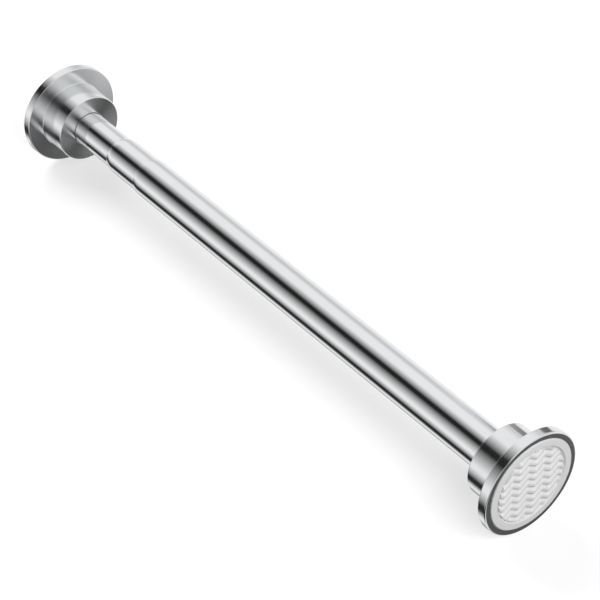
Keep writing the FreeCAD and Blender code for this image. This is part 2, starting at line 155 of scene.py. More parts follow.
class PadSizes(PropertyGroup):
    """Sizes of the rubber wall pad and its zigzag tread."""

    border: length("Border", "Plain ring round the tread", 0.0042)
    edge_round: length("Edge Rounding", "Rounding of the pad's front edge", 0.0005)
    tread_depth: length("Tread Depth", "Depth of the grooves", 0.0013)
    wall_run: length("Wall Run", "How far the border's inner wall slopes in", 0.001)
    end_gap: length("End Gap", "Floor left between a ridge's end and the border's wall", 0.0005)
    ridge_pitch: length("Ridge Pitch", "From one ridge to the next", 0.00515)
    ridge_top: length("Ridge Top", "Width of a ridge's crest", 0.0011)
    ridge_foot: length("Ridge Foot", "Width of a ridge at the groove's floor", 0.0037)
    wave_length: length("Wave Length", "Length of one zigzag along a ridge", 0.0112)
    wave_height: length("Wave Height", "Height of the zigzag from turn to turn", 0.0038)
    turn_sharpness: share("Turn Sharpness", "1 gives pointed turns, less rounds them", 0.985)
    segments: whole("Segments", "Faces round the pad", 256, 16)
    rings: whole("Rings", "Rings of faces across the pad's front", 14, 2)
    columns: whole("Columns", "Points along a ridge", 181, 8)


class SpringSizes(PropertyGroup):
    """Sizes of the compression spring."""

    wire: length("Wire", "Diameter of the wire", 0.0022)
    coils: whole("Coils", "Turns of the spring", 7, 1)


class Finishes(PropertyGroup):
    """Colours and polish of the rod's materials."""

    tube: colour("Tube Chrome", "Polished tube metal", (0.80, 0.81, 0.82))
    cover: colour("Cover Chrome", "Plated cap metal", (0.78, 0.79, 0.80))
    rubber: colour("Pad Rubber", "White pad rubber", (0.66, 0.66, 0.66))
    plastic: colour("Base Plastic", "Moulded cap base", (0.72, 0.72, 0.70))
    nylon: colour("Plug Nylon", "Plugs and twist lock", (0.80, 0.79, 0.74))
    zinc: colour("Zinc Steel", "Screws and washers", (0.62, 0.63, 0.64))
    spring: colour("Spring Steel", "Oiled spring wire", (0.42, 0.42, 0.43))
    tube_polish: share("Tube Roughness", "Roughness of the tubes", 0.09)
    cover_polish: share("Cover Roughness", "Roughness of the covers", 0.13)
    face_sheen: share("Face Sheen", "Roughness added on the covers' turned end faces", 0.03)


class StageSizes(PropertyGroup):
    """Camera, light and floor."""

    azimuth: FloatProperty(name="Azimuth", description="Camera's turn round the rod",
                           default=math.radians(231.33), subtype="ANGLE")
    elevation: FloatProperty(name="Elevation", description="Camera's height over the horizon",
                             default=math.radians(40.21), subtype="ANGLE")
    distance: length("Distance", "From the camera to the point it looks at", 1.30)
    look_at: FloatVectorProperty(name="Look At", description="Point in the middle of the picture",
                                 default=(0.2010, -0.0033, -0.0059), subtype="TRANSLATION", unit="LENGTH")
    lens: FloatProperty(name="Lens", description="Focal length in millimetres", default=132.9, min=1.0)
    key_power: FloatProperty(name="Key Power", description="Power of the softbox on the outer cap's side",
                             default=27.0, min=0.0, unit="POWER")
    side_power: FloatProperty(name="Side Power", description="Power of the softbox on the inner cap's side",
                              default=27.0, min=0.0, unit="POWER")
    fill: FloatProperty(name="Fill", description="Strength of the even light from all round", default=0.06,
                        min=0.0)
    floor: colour("Floor", "Pale floor", (0.38, 0.38, 0.38))
    floor_lift: share("Floor Lift", "White added to the floor under the rod, where the camera sees it", 0.61)
    floor_fade: length("Floor Fade", "Distance from the rod at which the floor has gone plain white", 2.2)
    tent_radius: length("Tent Radius", "Radius of the light tent that the chrome mirrors", 4.0)
    tent_length: length("Tent Length", "Length of the light tent", 80.0)


class RodSettings(PropertyGroup):
    """Everything that can be changed on the rod and its stage."""

    tubes: PointerProperty(type=TubeSizes)
    caps: PointerProperty(type=CapSizes)
    pads: PointerProperty(type=PadSizes)
    spring: PointerProperty(type=SpringSizes)
    finishes: PointerProperty(type=Finishes)
    stage: PointerProperty(type=StageSizes)


class Wiring:
    """Adds nodes to a tree and links them, so that a rule reads like a formula."""

    def __init__(self, tree):
        self.tree = tree

    def add(self, kind, inputs=None, **settings):
        node = self.tree.nodes.new(kind)
        count = len(self.tree.nodes)
        node.location = (200 * (count % 9), -260 * (count // 9))
        for name, value in settings.items():
            setattr(node, name, value)
        for name, value in (inputs or {}).items():
            self.feed(node.inputs[name], value)
        return node

    def feed(self, socket, value):
        if isinstance(value, NodeSocket):
            self.tree.links.new(value, socket)
        else:
            socket.default_value = value

    def math(self, operation, *values):
        node = self.add("ShaderNodeMath", operation=operation)
        for socket, value in zip(node.inputs, values):
            self.feed(socket, value)
        return node.outputs[0]

    def plus(self, a, b):
        return self.math("ADD", a, b)

    def minus(self, a, b):
        return self.math("SUBTRACT", a, b)

    def times(self, a, b):
        return self.math("MULTIPLY", a, b)

    def over(self, a, b):
        return self.math("DIVIDE", a, b)

    def spread(self, value, low, high, to_low, to_high, interpolation="LINEAR"):
        """The value's stretch from low to high mapped on to_low to to_high, and held beyond it."""
        node = self.add("ShaderNodeMapRange", interpolation_type=interpolation, clamp=True)
        for name, number in zip(("Value", "From Min", "From Max", "To Min", "To Max"),
                                (value, low, high, to_low, to_high)):
            self.feed(node.inputs[name], number)
        return node.outputs["Result"]

    def parts(self, vector):
        return self.add("ShaderNodeSeparateXYZ", {"Vector": vector}).outputs

    def vector(self, x, y, z):
        return self.add("ShaderNodeCombineXYZ", {"X": x, "Y": y, "Z": z}).outputs[0]


def new_tree(name, kind, inputs, outputs):
    """A node group, its wiring, and the sockets inside it by name. A socket is given by its default number,
    or by its type where it has none."""
    tree = bpy.data.node_groups.new(name, kind)
    for in_out, sockets in (("INPUT", inputs), ("OUTPUT", outputs)):
        for socket_name, default in sockets.items():
            typed = isinstance(default, str)
            socket_type = "NodeSocket" + (default if typed else type(default).__name__.title())
            socket = tree.interface.new_socket(socket_name, in_out=in_out, socket_type=socket_type)
            if not typed:
                socket.default_value = default
    wire = Wiring(tree)
    return tree, wire, wire.add("NodeGroupInput").outputs, wire.add("NodeGroupOutput").inputs


def shared_tree(name, build):
    """The named node group, built the first time that it is asked for."""
    return bpy.data.node_groups.get(name) or build(name)


def turn_profile_tree(name):
    """Turns a profile of points (x, 0, r) about the X axis."""
    tree, wire, given, result = new_tree(name, "GeometryNodeTree", {
        "Profile": "Geometry", "Stations": 2, "Segments": 64}, {"Mesh": "Geometry"})
    columns = wire.plus(given["Segments"], 1.0)
    grid = wire.add("GeometryNodeMeshGrid", {"Size X": 1.0, "Size Y": 1.0,
                                             "Vertices X": given["Stations"], "Vertices Y": columns})
    position = wire.add("GeometryNodeInputPosition").outputs[0]
    cell = wire.parts(position)
    steps = wire.minus(given["Stations"], 1.0)
    along = wire.math("ROUND", wire.times(wire.plus(cell["X"], 0.5), steps))
    count = wire.add("GeometryNodeAttributeDomainSize", {"Geometry": given["Profile"]}).outputs["Point Count"]
    index = wire.add("FunctionNodeFloatToInt", {"Float": wire.math("MODULO", along, count)})
    station = wire.add("GeometryNodeSampleIndex", {
        "Geometry": given["Profile"], "Value": position, "Index": index.outputs[0]}, data_type="FLOAT_VECTOR")
    point = wire.parts(station.outputs[0])
    angle = wire.times(wire.plus(cell["Y"], 0.5), 2 * math.pi)
    across = wire.times(point["Z"], wire.math("SINE", angle))
    up = wire.times(point["Z"], wire.math("COSINE", angle))
    turned = wire.add("GeometryNodeSetPosition", {"Geometry": grid.outputs["Mesh"],
                                                  "Position": wire.vector(point["X"], across, up)})
    closed = wire.add("GeometryNodeMergeByDistance", {"Geometry": turned.outputs[0], "Distance": ONE_POINT})
    wire.feed(result["Mesh"], closed.outputs[0])
    return tree


PLACE_INPUTS = {"Turn": 0.0, "Shift": 0.0, "Material": "Material"}
ALONG_X = (0.0, math.pi / 2, 0.0)  # lays a node's upright shape along the rod


def place_and_finish(wire, given, result, geometry):
    """Turns a piece about Z, shifts it along X and gives it its finish."""
    placed = wire.add("GeometryNodeTransform", {
        "Geometry": geometry, "Rotation": wire.vector(0.0, 0.0, given["Turn"]),
        "Translation": wire.vector(given["Shift"], 0.0, 0.0)})
    smooth = wire.add("GeometryNodeSetShadeSmooth", {"Geometry": placed.outputs[0]})
    angle = wire.add("GeometryNodeInputMeshEdgeAngle").outputs["Unsigned Angle"]
    creased = wire.add("GeometryNodeSetShadeSmooth", {
        "Geometry": smooth.outputs[0], "Shade Smooth": False,
        "Selection": wire.math("GREATER_THAN", angle, CREASE_ANGLE)}, domain="EDGE")
    real = wire.add("GeometryNodeRealizeInstances", {"Geometry": creased.outputs[0]})
    done = wire.add("GeometryNodeSetMaterial", {"Geometry": real.outputs[0], "Material": given["Material"]})
    wire.feed(result["Geometry"], done.outputs[0])


def turned_from(wire, given):
    """The turned mesh of the profile that a tree is given."""
    turn = wire.add("GeometryNodeGroup", {
        "Profile": given["Geometry"], "Stations": given["Stations"], "Segments": given["Segments"],
    }, node_tree=shared_tree("Turn Profile", turn_profile_tree))
    return turn.outputs["Mesh"]


def turned_piece_tree(name):
    """A turned piece, placed and finished, that keeps a mark on its faces that look away from the wall."""
    tree, wire, given, result = new_tree(name, "GeometryNodeTree", {
        "Geometry": "Geometry", "Stations": 2, "Segments": 64, **PLACE_INPUTS}, {"Geometry": "Geometry"})
    normal = wire.parts(wire.add("GeometryNodeInputNormal").outputs["Normal"])
    marked = wire.add("GeometryNodeStoreNamedAttribute", {
        "Geometry": turned_from(wire, given), "Name": FACE_MARK,
        "Value": wire.math("MAXIMUM", normal["X"], 0.0)}, data_type="FLOAT", domain="FACE")
    place_and_finish(wire, given, result, marked.outputs["Geometry"])
    return tree


def tread_section(wire, given, steps):
    """Stations across the tread, counted in half pitches from a ridge's crest to the groove beside it:
    how far each lies across the ridges, and how deep. A flank starts gently and gets steeper."""
    ridge = wire.math("FLOOR", wire.times(wire.plus(steps, 1.0), 0.5))
    side = wire.minus(steps, wire.times(ridge, 2.0))
    off_crest = wire.math("ABSOLUTE", side)
    slope = wire.over(given["Wave Height"], given["Wave Length"])
    slant = wire.math("ARCTANGENT", wire.times(2.0, slope))
    widen = wire.over(0.5, wire.math("COSINE", slant))
    top = wire.times(given["Ridge Top"], widen)
    foot = wire.times(given["Ridge Foot"], widen)
    half_pitch = wire.times(given["Ridge Pitch"], 0.5)
    flank_start, flank_end = CREST_SHARE, 1.0 - CREST_SHARE
    on_crest = wire.spread(off_crest, 0.0, flank_start, 0.0, top)
    on_flank = wire.spread(off_crest, flank_start, flank_end, 0.0, wire.minus(foot, top))
    on_floor = wire.spread(off_crest, flank_end, 1.0, 0.0, wire.minus(half_pitch, foot))
    off = wire.plus(on_crest, wire.plus(on_flank, on_floor))
    crest = wire.times(ridge, given["Ridge Pitch"])
    across = wire.plus(crest, wire.times(wire.math("SIGN", side), off))
    left = wire.spread(off_crest, flank_start, flank_end, 1.0, 0.0)
    drop = wire.minus(1.0, wire.math("POWER", left, FLANK_EASE))
    height = wire.plus(given["Tread Depth"], 2 * CLEAR_CUT)
    depth = wire.minus(wire.times(drop, height), CLEAR_CUT)
    return across, depth


def zigzag(wire, given, along):
    """How far a ridge swings to the side at a place along it; its turns are a little rounded."""
    phase = wire.over(wire.times(along, 2 * math.pi), given["Wave Length"])
    wave = wire.math("ARCSINE", wire.times(wire.math("SINE", phase), given["Turn Sharpness"]))
    swing = wire.over(wave, wire.math("ARCSINE", given["Turn Sharpness"]))
    return wire.times(wire.times(given["Wave Height"], 0.5), swing)


def tread_ridges(wire, given):
    """The ridges as one solid: a relief of crests and grooves, thickened inwards and cut off round."""
    reach = wire.plus(given["Tread Radius"], given["Wave Height"])
    rows = wire.math("CEIL", wire.over(reach, given["Ridge Pitch"]))
    stations = wire.times(rows, 4 * FLANK_STEPS)
    grid = wire.add("GeometryNodeMeshGrid", {
        "Size X": 1.0, "Size Y": 1.0, "Vertices X": wire.plus(stations, 1.0),
        "Vertices Y": given["Columns"]})
    cell = wire.parts(wire.add("GeometryNodeInputPosition").outputs[0])
    steps = wire.over(wire.math("ROUND", wire.times(cell["X"], stations)), FLANK_STEPS)
    across, depth = tread_section(wire, given, steps)
    along = wire.times(cell["Y"], wire.times(given["Tread Radius"], RELIEF_WIDTH))
    up = wire.plus(across, zigzag(wire, given, along))
    relief = wire.add("GeometryNodeSetPosition", {"Geometry": grid.outputs["Mesh"],
                                                  "Position": wire.vector(depth, along, up)})
    behind = wire.add("GeometryNodeFlipFaces", {"Mesh": relief.outputs[0]})
    thick = wire.add("GeometryNodeExtrudeMesh", {
        "Mesh": behind.outputs["Mesh"], "Offset": wire.vector(1.0, 0.0, 0.0), "Individual": False,
        "Offset Scale": wire.times(given["Tread Depth"], RELIEF_THICKNESS)})
    block = wire.add("GeometryNodeJoinGeometry")
    for part in (relief, thick):
        wire.tree.links.new(part.outputs[0], block.inputs["Geometry"])
    closed = wire.add("GeometryNodeMergeByDistance", {"Geometry": block.outputs[0], "Distance": ONE_POINT})
    inset = wire.plus(given["Wall Run"], given["End Gap"])
    ends = wire.add("GeometryNodeMeshCylinder", {
        "Vertices": given["Segments"], "Radius": wire.minus(given["Tread Radius"], inset),
        "Depth": wire.times(given["Tread Depth"], CLIP_THICKNESS)})
    laid = wire.add("GeometryNodeTransform", {"Geometry": ends.outputs["Mesh"], "Rotation": ALONG_X})
    cut_off = wire.add("GeometryNodeMeshBoolean", operation="INTERSECT", solver="MANIFOLD")
    for part in (closed, laid):
        wire.tree.links.new(part.outputs[0], cut_off.inputs["Mesh 2"])
    return cut_off.outputs["Mesh"]


def less(wire, solid, cutter):
    """A solid with another one cut out of it."""
    return wire.add("GeometryNodeMeshBoolean", {"Mesh 1": solid, "Mesh 2": cutter}, operation="DIFFERENCE",
                    solver="MANIFOLD").outputs["Mesh"]


def sunk_tread(wire, given):
    """What the tread takes out of the pad: a flat floor with a sloping wall round it, less the ridges."""
    slope_out = wire.times(given["Wall Run"], CUT_STANDOFF)
    wall = wire.add("GeometryNodeMeshCone", {
        "Vertices": given["Segments"],
        "Depth": wire.times(given["Tread Depth"], 1.0 + CUT_STANDOFF),
        "Radius Top": wire.minus(given["Tread Radius"], given["Wall Run"]),
        "Radius Bottom": wire.plus(given["Tread Radius"], slope_out)})
    front = wire.times(given["Tread Depth"], -CUT_STANDOFF)
    laid = wire.add("GeometryNodeTransform", {
        "Geometry": wall.outputs["Mesh"], "Rotation": ALONG_X, "Translation": wire.vector(front, 0.0, 0.0)})
    return less(wire, laid.outputs[0], tread_ridges(wire, given))


def wall_pad_tree(name):
    """A turned disc with a tread of zigzag ridges cut into its front."""
    sizes = dict.fromkeys((
        "Tread Radius", "Tread Depth", "Wall Run", "End Gap", "Ridge Pitch", "Ridge Top", "Ridge Foot",
        "Wave Length", "Wave Height", "Turn Sharpness"), 1.0)
    tree, wire, given, result = new_tree(name, "GeometryNodeTree", {
        "Geometry": "Geometry", "Stations": 2, "Segments": 64, "Columns": 64, **sizes, **PLACE_INPUTS,
    }, {"Geometry": "Geometry"})
    treaded = less(wire, turned_from(wire, given), sunk_tread(wire, given))
    place_and_finish(wire, given, result, treaded)
    return tree


def coil_spring_tree(name):
    """A round wire swept along a helix."""
    tree, wire, given, result = new_tree(name, "GeometryNodeTree", {
        "Geometry": "Geometry", "Wire": 0.002, "Coil Radius": 0.009, "Length": 0.06, "Coils": 7.0,
        **PLACE_INPUTS}, {"Geometry": "Geometry"})
    half_wire = wire.times(given["Wire"], 0.5)
    helix = wire.add("GeometryNodeCurveSpiral", {
        "Resolution": 40, "Rotations": given["Coils"], "Start Radius": given["Coil Radius"],
        "End Radius": given["Coil Radius"], "Height": wire.minus(given["Length"], given["Wire"])})
    section = wire.add("GeometryNodeCurvePrimitiveCircle", {"Resolution": 20, "Radius": half_wire})
    swept = wire.add("GeometryNodeCurveToMesh", {"Curve": helix.outputs[0],
                                                 "Profile Curve": section.outputs[0], "Fill Caps": True})
    laid = wire.add("GeometryNodeTransform", {
        "Geometry": swept.outputs[0], "Rotation": ALONG_X, "Translation": wire.vector(half_wire, 0.0, 0.0)})
    place_and_finish(wire, given, result, laid.outputs[0])
    return tree


def grown(name, points, tree, values):
    """A piece that a node tree grows from a line of points, made a plain mesh at the origin."""
    line = bpy.data.meshes.new(name + "_line")
    line.from_pydata(points, [(i, i + 1) for i in range(len(points) - 1)], [])
    maker = bpy.data.objects.new(name + "_maker", line)
    bpy.context.scene.collection.objects.link(maker)
    modifier = maker.modifiers.new("Grow", "NODES")
    modifier.node_group = tree
    for item in tree.interface.items_tree:
        if item.item_type == "SOCKET" and item.in_out == "INPUT" and item.name in values:
            modifier[item.identifier] = values[item.name]
    depsgraph = bpy.context.evaluated_depsgraph_get()
    mesh = bpy.data.meshes.new_from_object(maker.evaluated_get(depsgraph), depsgraph=depsgraph)
    bpy.data.objects.remove(maker)
    bpy.data.meshes.remove(line)
    if not mesh.polygons:
        raise RuntimeError(f"{name} came out empty")
    mesh.name = name
    piece = bpy.data.objects.new(name, mesh)
    bpy.context.scene.collection.objects.link(piece)
    return piece


def stands_for(piece, node, body):
    """Puts a finished piece in a frame node's place."""
    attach(piece, body)
    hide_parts(node)


def rounded(corners, steps=8, support=0.00005):
    """Points of an outline: a corner (x, r, rounding) becomes an arc with a support point on each side,
    which keeps the flats beside it flat in the mirror, and a plain (x, r) stays a point."""
    points = []
    for i, corner in enumerate(corners):
        here = Vector(corner[:2])
        if len(corner) == 2:
            points.append(here)
            continue
        before = Vector(corners[i - 1][:2])
        after = Vector(corners[(i + 1) % len(corners)][:2])
        into, out = (here - before).normalized(), (after - here).normalized()
        turn = into.angle_signed(out)
        reach = corner[2] * math.tan(abs(turn) / 2)
        centre = here - into * reach + into.orthogonal() * math.copysign(corner[2], -turn)
        spoke = here - into * reach - centre
        points.append(here - into * (reach + support))
        for step in range(steps + 1):
            angle = -turn * step / steps
            cosine, sine = math.cos(angle), math.sin(angle)
            points.append(centre + Vector((spoke.x * cosine - spoke.y * sine,
                                           spoke.x * sine + spoke.y * cosine)))
        points.append(here + out * (reach + support))
    return points


def as_profile(points):
    return [(point[0], 0.0, point[1]) for point in points]


def neck(x0, r0, x1, r1, steps=14):
    """Points of the arc that closes a tube in from r0, where it is tangent, to r1 at its mouth."""
    run, drop = x1 - x0, r0 - r1
    radius = (run**2 + drop**2) / (2 * drop)
    turn = math.asin(run / radius)
    return [(x0 + radius * math.sin(turn * i / steps), r0 - radius * (1 - math.cos(turn * i / steps)))
            for i in range(steps + 1)]


def necked_outline(start, mouth, outer_r, wall, lip_bore_r, sizes):
    """Outline of a tube whose mouth is closed in round the next tube."""
    lip_r = lip_bore_r + sizes.lip_wall
    bend = mouth - sizes.neck_length
    bore_r = outer_r - wall
    outside = [(bend - NECK_LEAD, outer_r)] + neck(bend, outer_r, mouth, lip_r)[:-1]
    inside = [(bend - NECK_LEAD, bore_r)] + neck(bend, bore_r, mouth, lip_bore_r)[:-1]
    return rounded([(start, bore_r, CUT_BORE_EDGE), (start, outer_r, CUT_EDGE)] + outside
                   + [(mouth, lip_r, sizes.lip_round), (mouth, lip_bore_r, LIP_BORE_EDGE)] + inside[::-1])


def plain_outline(start, end, outer_r, wall):
    bore_r = outer_r - wall
    return rounded([(start, bore_r, CUT_BORE_EDGE), (start, outer_r, CUT_EDGE),
                    (end, outer_r, CUT_EDGE), (end, bore_r, CUT_BORE_EDGE)])


def cover_outline(caps, tube_r):
    """Outline of a cap cover, counted inwards from the wall face."""
    rim, depth = COVER_LOW.x, COVER_HIGH.x
    flange_r, hub_r = COVER_HIGH.z, caps.hub_diameter / 2
    pocket_r = flange_r - caps.rim_width
    back = rim + caps.flange_thickness
    inside, end_inside = back - caps.cover_wall, depth - caps.cover_wall
    hole_r, bore_r = tube_r + caps.hole_clearance, hub_r - caps.cover_wall
    back_edge = back - caps.back_fall * (flange_r - hub_r)
    dished = depth - caps.hub_dish * (hub_r - hole_r)
    return rounded([
        (rim, pocket_r, SHELL_EDGE), (rim, flange_r, caps.rim_round), (back_edge, flange_r, caps.edge_round),
        (back, hub_r, caps.root_round), (depth, hub_r, caps.edge_round), (dished, hole_r, caps.hole_round),
        (end_inside, hole_r, SHELL_EDGE), (end_inside, bore_r, SHELL_CORNER), (inside, bore_r, SHELL_CORNER),
        (inside, pocket_r, SHELL_EDGE)])


def pad_outline(pads):
    """Outline of a wall pad before its tread is cut, from the middle of its front to that of its back."""
    pad_r, back = PAD_HIGH.z, PAD_HIGH.x
    face_r = pad_r - pads.border / 2
    front = [Vector((0.0, face_r * i / pads.rings)) for i in range(pads.rings)]
    return front + rounded([(0.0, face_r), (0.0, pad_r, pads.edge_round), (back, pad_r, PAD_BACK_EDGE),
                            (back, 0.0)])


def polish_lines_tree(name):
    """Fine lines left round a turned and polished piece, running round the X axis."""
    tree, wire, given, result = new_tree(name, "ShaderNodeTree", {
        "Place": "Vector", "Fineness": 1500.0}, {"Lines": "Float", "Haze": "Float"})
    place = wire.parts(given["Place"])
    radius = wire.math("SQRT", wire.plus(wire.times(place["Y"], place["Y"]),
                                         wire.times(place["Z"], place["Z"])))
    along = wire.plus(place["X"], wire.times(radius, LINE_SLANT))
    section = wire.vector(wire.times(along, given["Fineness"]),
                          wire.over(place["Y"], radius), wire.over(place["Z"], radius))
    lines = wire.add("ShaderNodeTexNoise", {"Vector": section, "Scale": 1.0, "Detail": 3.0,
                                            "Roughness": 0.6})
    haze = wire.add("ShaderNodeTexNoise", {"Vector": given["Place"], "Scale": 60.0, "Detail": 2.0})
    wire.feed(result["Lines"], lines.outputs[0])
    wire.feed(result["Haze"], haze.outputs[0])
    return tree


def moulded_grain_tree(name):
    """Fine grain and faint clouding of a moulded surface."""
    tree, wire, given, result = new_tree(name, "ShaderNodeTree", {
        "Place": "Vector", "Fineness": 2500.0}, {"Grain": "Float", "Cloud": "Float"})
    grain = wire.add("ShaderNodeTexNoise", {"Vector": given["Place"], "Scale": given["Fineness"],
                                            "Detail": 2.0, "Roughness": 0.55})
    cloud = wire.add("ShaderNodeTexNoise", {"Vector": given["Place"], "Scale": 90.0, "Detail": 3.0})
    wire.feed(result["Grain"], grain.outputs[0])
    wire.feed(result["Cloud"], cloud.outputs[0])
    return tree


def new_material(name):
    """An empty node material: its wiring, its shader and the piece's own coordinates."""
    material = bpy.data.materials.new(name)
    material.use_nodes = True
    material.node_tree.nodes.clear()
    wire = Wiring(material.node_tree)
    shader = wire.add("ShaderNodeBsdfPrincipled")
    wire.add("ShaderNodeOutputMaterial", {"Surface": shader.outputs[0]})
    place = wire.add("ShaderNodeTexCoord").outputs["Object"]
    return material, wire, shader, place


def tinted(wire, tint, factor, change):
    """A colour that runs a little darker where the factor is high."""
    darker = [channel * (1 - change) for channel in tint]
    # inputs 0, 6 and 7 are the factor and the two colours, output 2 is the mixed colour
    mix = wire.add("ShaderNodeMix", {0: factor, 6: (*tint, 1.0), 7: (*darker, 1.0)}, data_type="RGBA")
    return mix.outputs[2]


def turned_sheen(wire, shader, place, rough, added):
    """Spreads what a piece's turned end faces mirror, across the lines that the tool left round them."""
    face = wire.add("ShaderNodeAttribute", attribute_name=FACE_MARK).outputs["Fac"]
    around = wire.vector(0.0, wire.times(place["Z"], -1.0), place["Y"])
    tangent = wire.add("ShaderNodeVectorTransform", {"Vector": around}, vector_type="VECTOR",
                       convert_from="OBJECT", convert_to="WORLD")
    wire.feed(shader.inputs["Tangent"], tangent.outputs[0])
    wire.feed(shader.inputs["Anisotropic"], wire.times(face, SHEEN_STRETCH))
    return wire.plus(rough, wire.times(face, added))


def polished(name, tint, roughness, variation, fineness, line_height, sheen=0.0):
    """Turned and polished metal: fine lines round the piece, a faint haze in its gloss."""
    material, wire, shader, place = new_material(name)
    group = wire.add("ShaderNodeGroup", {"Place": place, "Fineness": fineness},
                     node_tree=shared_tree("Polish Lines", polish_lines_tree))
    lines, haze = group.outputs["Lines"], group.outputs["Haze"]
    gloss = wire.plus(wire.times(lines, LINE_GLOSS), wire.times(haze, HAZE_GLOSS))
    wire.feed(shader.inputs["Base Color"], tinted(wire, tint, haze, METAL_CLOUDING))
    shader.inputs["Metallic"].default_value = 1.0
    rough = wire.spread(gloss, NOISE_LOW, NOISE_HIGH, roughness - variation, roughness + variation)
    if sheen:
        rough = turned_sheen(wire, shader, wire.parts(place), rough, sheen)
    wire.feed(shader.inputs["Roughness"], rough)
    bump = wire.add("ShaderNodeBump", {"Height": lines, "Strength": 1.0, "Distance": line_height})
    wire.feed(shader.inputs["Normal"], bump.outputs[0])
    return material


def moulded(name, tint, roughness, fineness, grain_height, variation=0.06):
    """Moulded rubber or plastic: fine grain, faint clouding."""
    material, wire, shader, place = new_material(name)
    group = wire.add("ShaderNodeGroup", {"Place": place, "Fineness": fineness},
                     node_tree=shared_tree("Moulded Grain", moulded_grain_tree))
    grain, cloud = group.outputs["Grain"], group.outputs["Cloud"]
    wire.feed(shader.inputs["Base Color"], tinted(wire, tint, cloud, MOULDED_CLOUDING))
    wire.feed(shader.inputs["Roughness"],
              wire.spread(grain, NOISE_LOW, NOISE_HIGH, roughness - variation, roughness + variation))
    bump = wire.add("ShaderNodeBump", {"Height": grain, "Strength": 1.0, "Distance": grain_height})
    wire.feed(shader.inputs["Normal"], bump.outputs[0])
    return material


class TENSIONROD_OT_tubes(Operator):
    """Turn the outer tube, the spring sleeve and the inner tube"""

    bl_idname = "tension_rod.tubes"
    bl_label = "Tubes"

    def execute(self, context):
        settings = context.scene.tension_rod
        sizes, finishes = settings.tubes, settings.finishes
        outer_r, sleeve_r, inner_r = OUTER_HIGH.z, SLEEVE_HIGH.z, INNER_HIGH.z
        outlines = {
            "outer_tube": ("outer", necked_outline(
                OUTER_LOW.x, OUTER_HIGH.x, outer_r, sizes.outer_wall, sleeve_r + sizes.lip_clearance, sizes)),
            "spring_sleeve": ("sleeve", necked_outline(
                SLEEVE_LOW.x, SLEEVE_HIGH.x, sleeve_r, sizes.sleeve_wall, inner_r + sizes.lip_clearance,
                sizes)),
            "inner_tube": ("inner", plain_outline(INNER_LOW.x, INNER_HIGH.x, inner_r, sizes.inner_wall)),
        }
        chrome = polished("Tube Chrome", finishes.tube, finishes.tube_polish, variation=0.02,
                          fineness=1400.0, line_height=0.000002)
        tree = shared_tree("Turned Piece", turned_piece_tree)
        for node, (body, outline) in outlines.items():
            piece = grown(node + "_polished", as_profile(outline), tree, {
                "Stations": len(outline) + 1, "Segments": sizes.segments, "Material": chrome})
            stands_for(piece, node, body)
        return {"FINISHED"}


class TENSIONROD_OT_cap_covers(Operator):
    """Turn the stepped cover at each end"""

    bl_idname = "tension_rod.cap_covers"
    bl_label = "Cap Covers"

    def execute(self, context):
        settings = context.scene.tension_rod
        finishes = settings.finishes
        chrome = polished("Cover Chrome", finishes.cover, finishes.cover_polish, variation=0.025,
                          fineness=1100.0, line_height=0.000003, sheen=finishes.face_sheen)
        tree = shared_tree("Turned Piece", turned_piece_tree)
        for node, body, tube_r, turn, shift in (
                ("outer_end_cover", "outer", OUTER_HIGH.z, 0.0, 0.0),
                ("inner_end_cover", "inner", INNER_HIGH.z, math.pi, FAR_WALL)):
            outline = cover_outline(settings.caps, tube_r)
            piece = grown(node + "_plated", as_profile(outline), tree, {
                "Stations": len(outline) + 1, "Segments": settings.tubes.segments, "Turn": turn,
                "Shift": shift, "Material": chrome})
            stands_for(piece, node, body)
        return {"FINISHED"}


class TENSIONROD_OT_wall_pads(Operator):
    """Mould the rubber pad with its zigzag tread at each end"""

    bl_idname = "tension_rod.wall_pads"
    bl_label = "Wall Pads"

    def execute(self, context):
        settings = context.scene.tension_rod
        pads = settings.pads
        outline = pad_outline(pads)
        rubber = moulded("Pad Rubber", settings.finishes.rubber, roughness=0.5, fineness=2200.0,
                         grain_height=0.00001)
        tree = shared_tree("Wall Pad", wall_pad_tree)
        for node, body, turn, shift in (("outer_end_pad", "outer", 0.0, 0.0),
                                        ("inner_end_pad", "inner", math.pi, FAR_WALL)):
            piece = grown(node + "_moulded", as_profile(outline), tree, {
                "Stations": len(outline), "Segments": pads.segments, "Columns": pads.columns,
                "Tread Radius": PAD_HIGH.z - pads.border, "Tread Depth": pads.tread_depth,
                "Wall Run": pads.wall_run, "End Gap": pads.end_gap, "Ridge Pitch": pads.ridge_pitch,
                "Ridge Top": pads.ridge_top, "Ridge Foot": pads.ridge_foot,
                "Wave Length": pads.wave_length, "Wave Height": pads.wave_height,
                "Turn Sharpness": pads.turn_sharpness, "Turn": turn, "Shift": shift, "Material": rubber})
            stands_for(piece, node, body)
        return {"FINISHED"}


class TENSIONROD_OT_spring(Operator):
    """Wind the compression spring at its free length"""

    bl_idname = "tension_rod.spring"
    bl_label = "Spring"

    def execute(self, context):
        settings = context.scene.tension_rod
        free_length = SPRING_HIGH.x - SPRING_LOW.x
        steel = polished("Spring Steel", settings.finishes.spring, roughness=0.32, variation=0.08,
                         fineness=900.0, line_height=0.000004)
        piece = grown("spring_wound", [(0.0, 0.0, 0.0)], shared_tree("Coil Spring", coil_spring_tree), {
            "Wire": settings.spring.wire, "Coil Radius": SPRING_HIGH.z - settings.spring.wire / 2,
            "Length": free_length, "Coils": float(settings.spring.coils), "Shift": SPRING_LOW.x,
            "Material": steel})
        stands_for(piece, "spring", "outer")
        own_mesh(piece)
        return {"FINISHED"}


